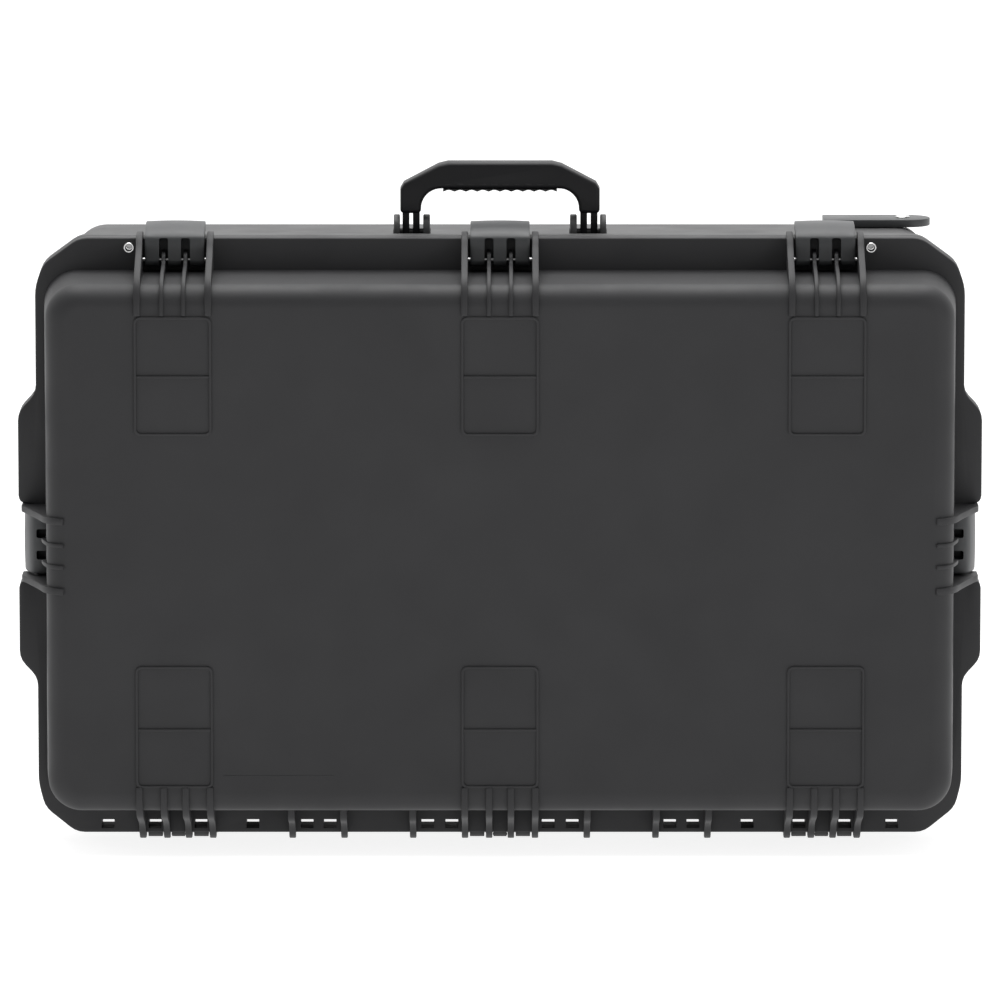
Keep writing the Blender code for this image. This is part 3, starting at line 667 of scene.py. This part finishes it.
def build_pull_handle():
    reach = TUBE_OFFSET + 10
    low, high = MIDDLE_Z - reach, MIDDLE_Z + reach
    outline = [(369, low), (388, low), (394, low + 8), (394, high - 8), (388, high), (369, high),
               (369, high - 20), (381, high - 24), (381, low + 24), (369, low + 20)]
    grip = raw_object("pull_grip_body", prism(round_corners(outline, 4), "y", 197, 220), 2.5, 3)
    cut(grip, block((386, 202.6, MIDDLE_Z - 13), (400, 214.4, MIDDLE_Z + 13)))
    finished(grip, RUBBER, "pull_handle", "grip_rubber", "pull_grip")
    button = prism(rounded_box((203, MIDDLE_Z - 12.6), (214, MIDDLE_Z + 12.6), 2.5, 6), "x", 390.5, 396.8)
    piece("pull_button", button, LATCH, "release_button", "latch_plastic", "pull_release_button",
          bevel=0.8, segments=3)
    outline = rounded_box((186, low - 10), (222, high + 10), 6, 6)
    plate = raw_object("pull_bracket", prism(outline, "x", 360, 366), 1.0, 3)
    half = 10.2
    holes = [block((350, TUBE_Y - half, z - half), (380, TUBE_Y + half, z + half)) for z in TUBES_Z]
    cut(plate, joined(*holes))
    finished(plate, CASE, "base", "case_plastic", "pull_handle_bracket")


def build_ears():
    """Flat ears over the tub's top and bottom walls, each held by a rivet with a domed head."""
    outline = [(272, 168)] + arc((342, 188), 20, -90, 90, 24) + [(272, 208)]
    dome = [(0.02, 2.2), (2.5, 2.1), (4.6, 1.5), (6.0, 0), (2.1, 0), (2.1, -15), (0.02, -15)]
    for name, sign, wall in (("top", 1, TUB_TOP), ("bottom", -1, TUB_LOW)):
        rings = [[(x, y, wall + sign * (rise - TUB_SLOPE * (y - TUB_START))) for x, y in outline]
                 for rise in (0.6, 7.0)]
        ear = raw_object(f"pull_ear_plate_{name}", loft(rings), 0.8, 2)
        cut(ear, prism(circle(EAR_RIVET, 2.6), "z", wall - 30, wall + 30))
        finished(ear, LATCH, "base", "latch_plastic", f"pull_ear_{name}")
        level = wall + sign * 4.9
        profile = [(radius, level + sign * rise) for radius, rise in dome]
        piece(f"ear_rivet_dome_{name}", turned(profile, EAR_RIVET, 32), STEEL, "base", "steel",
              f"ear_rivet_{name}", bevel=0.0, smooth=50)


# ---------------------------------------------------------------- feet, wheels, tray and kept parts

def build_feet():
    for name, side in (("left", -1), ("right", 1)):
        low, high = sorted((side * FOOT_X[0], side * FOOT_X[1]))
        outline = rounded_box((low, FOOT_Y[0]), (high, FOOT_Y[1]), 7, 6)
        top = [(x, y, TUB_LOW - 0.8 + TUB_SLOPE * (y - TUB_START)) for x, y in outline]
        piece(f"foot_{name}", loft([lift(outline, "z", 0), top]), RUBBER, "base", "grip_rubber",
              f"standing_foot_{name}", bevel=1.5, segments=3)


def wheel_ring(half_profile, z):
    """A ring about a wheel's axle from half its profile, which holds radius and distance from its middle."""
    lower = [(radius, z - rise) for radius, rise in half_profile]
    upper = [(radius, z + rise) for radius, rise in reversed(half_profile)]
    return turned(lower + upper, WHEEL, 72)


def build_wheels():
    tread = [(27.4, 10.5), (36, 12), (WHEEL_RADIUS, 9.5), (WHEEL_RADIUS, 3.2), (WHEEL_RADIUS - 1.2, 2.2)]
    disc = [(4.3, 10), (9, 10), (10, 4), (22, 4), (23, 10), (27, 10)]
    for name, z in zip(("lower", "upper"), WHEELS_Z):
        piece(f"tyre_{name}", wheel_ring(tread, z), TYRE, f"wheel_{name}", "tyre", f"wheel_tyre_{name}",
              bevel=0.0, smooth=40)
        hub = raw_object(f"hub_{name}", wheel_ring(disc, z))
        windows = []
        for index in range(6):
            turn = math.radians(60 * index)
            spot = (WHEEL[0] + 16 * math.cos(turn), WHEEL[1] + 16 * math.sin(turn))
            windows.append(prism(circle(spot, 4.2, 24), "z", z - 20, z + 20))
        cut(hub, joined(*windows))
        finished(hub, LATCH, f"wheel_{name}", "latch_plastic", f"wheel_hub_{name}")


def tray_ring(inset, corner, y):
    outline = rounded_rect(TRAY_HALF - inset, TRAY_LOW + inset, TRAY_HIGH - inset, corner)
    return lift(outline, "y", y)


def build_tray():
    """A shallow tray that narrows towards its floor, its middle wall with a hand slot, and two dividers."""
    low, high, floor = TRAY_LOW + 9, TRAY_HIGH - 9, TRAY_BACK - TRAY_WALL
    tray = raw_object("tray_body", loft([tray_ring(0, 30, TRAY_FRONT), tray_ring(3.4, 28.4, TRAY_BACK - 5),
                                         tray_ring(4.8, 27, TRAY_BACK - 1.5), tray_ring(8, 24, TRAY_BACK)]))
    cut(tray, loft([tray_ring(TRAY_WALL, 28, TRAY_FRONT - 4), tray_ring(4 + TRAY_WALL, 26, floor - 4),
                    tray_ring(8 + TRAY_WALL, 22, floor)]))
    finished(tray, TRAY, "tray", "tray_plastic", "tray_shell")
    wall = prism(rounded_box((7, low), (55, high), 5, 6), "x", -4, 4)
    handle = raw_object("tray_handle_wall", wall, 1.2, 3)
    cut(handle, prism(rounded_box((14, MIDDLE_Z - 50), (32, MIDDLE_Z + 50), 8, 8), "x", -10, 10))
    finished(handle, TRAY, "tray", "tray_plastic", "tray_handle")
    for name, x in (("left", -DIVIDER_X), ("right", DIVIDER_X)):
        divider = prism(rounded_box((12, low), (55, high), 4, 6), "x", x - 1.5, x + 1.5)
        piece(f"divider_{name}", divider, TRAY, "tray", "tray_plastic", f"tray_divider_{name}")


def build_padlock_bushes():
    for name, side in (("left", -1), ("right", 1)):
        centre = (side * PADLOCK[0], PADLOCK[1])
        rings = [(4.2, -0.9), (4.2, -14.7), (3.9, -15.0), (3.2, -15.0), (2.9, -14.6), (2.9, -0.9)]
        bush = closed_band([lift(circle(centre, radius, 40), "y", y) for radius, y in rings])
        piece(f"bush_{name}", bush, STEEL, "lid", "steel", f"padlock_bush_{name}", bevel=0.0, smooth=40)


def dress_kept_nodes():
    """Gives the CAD nodes that stay in view their materials."""
    looks = (("hinge_pin", STEEL), ("latch_pin", STEEL), ("carry_handle_pin", DARK_STEEL),
             ("wheel_axle", STEEL), ("pull_guide_tube", ALUMINIUM), ("pull_middle_tube", ALUMINIUM),
             ("pull_inner_tube", ALUMINIUM), ("seal_ring", SEAL), ("tray_ledge", CASE),
             ("pressure_valve", LATCH))
    for node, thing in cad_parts.items():
        for start, look in looks:
            if node.startswith(start):
                thing.data.materials.clear()
                thing.data.materials.append(look)


# ---------------------------------------------------------------- stage

def area_light(name, place, size, power):
    data = bpy.data.lights.new(name, "AREA")
    data.shape = "SQUARE"
    data.size = size
    data.energy = power
    light = bpy.data.objects.new(name, data)
    light.location = place
    light.rotation_euler = (Vector(LIGHTS_AIM) - Vector(place)).to_track_quat("-Z", "Y").to_euler()
    bpy.context.scene.collection.objects.link(light)


def build_floor():
    """A wide white floor that gives off light, so that the case throws hardly any shadow on it."""
    corners = [(x * FLOOR_HALF, y * FLOOR_HALF, FLOOR_LEVEL) for x, y in ((-1, -1), (1, -1), (1, 1), (-1, 1))]
    mesh = bpy.data.meshes.new("floor")
    mesh.from_pydata(corners, [], [(0, 1, 2, 3)])
    floor = bpy.data.objects.new("floor", mesh)
    paper = surface("floor", (0.40, 0.40, 0.40), 0.9, grain=40.0, bump=0.02, mottle=0.01, sheen=0.1)
    shader = paper.node_tree.nodes["Principled BSDF"]
    shader.inputs["Emission Color"].default_value = (1.0, 1.0, 1.0, 1.0)
    shader.inputs["Emission Strength"].default_value = FLOOR_GLOW
    floor.data.materials.append(paper)
    bpy.context.scene.collection.objects.link(floor)


def build_world():
    """A white studio that is dim in front of the case and bright behind it."""
    world = bpy.data.worlds.new("studio")
    world.use_nodes = True
    nodes, links = world.node_tree.nodes, world.node_tree.links
    place = nodes.new("ShaderNodeTexCoord")
    parts = nodes.new("ShaderNodeSeparateXYZ")
    links.new(place.outputs["Generated"], parts.inputs["Vector"])
    strength = nodes.new("ShaderNodeMapRange")
    strength.inputs["From Min"].default_value = -0.25
    strength.inputs["From Max"].default_value = 0.35
    strength.inputs["To Min"].default_value = 0.30
    strength.inputs["To Max"].default_value = 1.3
    links.new(parts.outputs["Y"], strength.inputs["Value"])
    links.new(strength.outputs["Result"], nodes["Background"].inputs["Strength"])
    nodes["Background"].inputs["Color"].default_value = (1.0, 1.0, 1.0, 1.0)
    bpy.context.scene.world = world


def build_stage():
    build_floor()
    build_world()
    area_light("top light", (0.0, 0.5, 3.4), 3.0, 122)
    area_light("right light", (2.6, -2.6, 1.4), 1.6, 14)
    bpy.context.scene.view_settings.view_transform = "Standard"


def build_camera():
    data = bpy.data.cameras.new("camera")
    data.sensor_width = 36.0
    data.lens = data.sensor_width * CAMERA_DISTANCE / PICTURE_WIDTH
    data.clip_end = 200.0
    camera = bpy.data.objects.new("camera", data)
    tilt = math.radians(CAMERA_TILT)
    back, up = CAMERA_DISTANCE * math.cos(tilt), CAMERA_DISTANCE * math.sin(tilt)
    camera.location = (0.0, PARTING - back, CAMERA_HEIGHT + up)
    camera.rotation_euler = (math.pi / 2 - tilt, 0.0, 0.0)
    bpy.context.scene.collection.objects.link(camera)
    bpy.context.scene.camera = camera


build_camera()
build_lid()
build_base()
build_latches()
build_carry_handle()
build_pull_handle()
build_ears()
build_feet()
build_wheels()
build_tray()
build_padlock_bushes()
dress_kept_nodes()
build_stage()
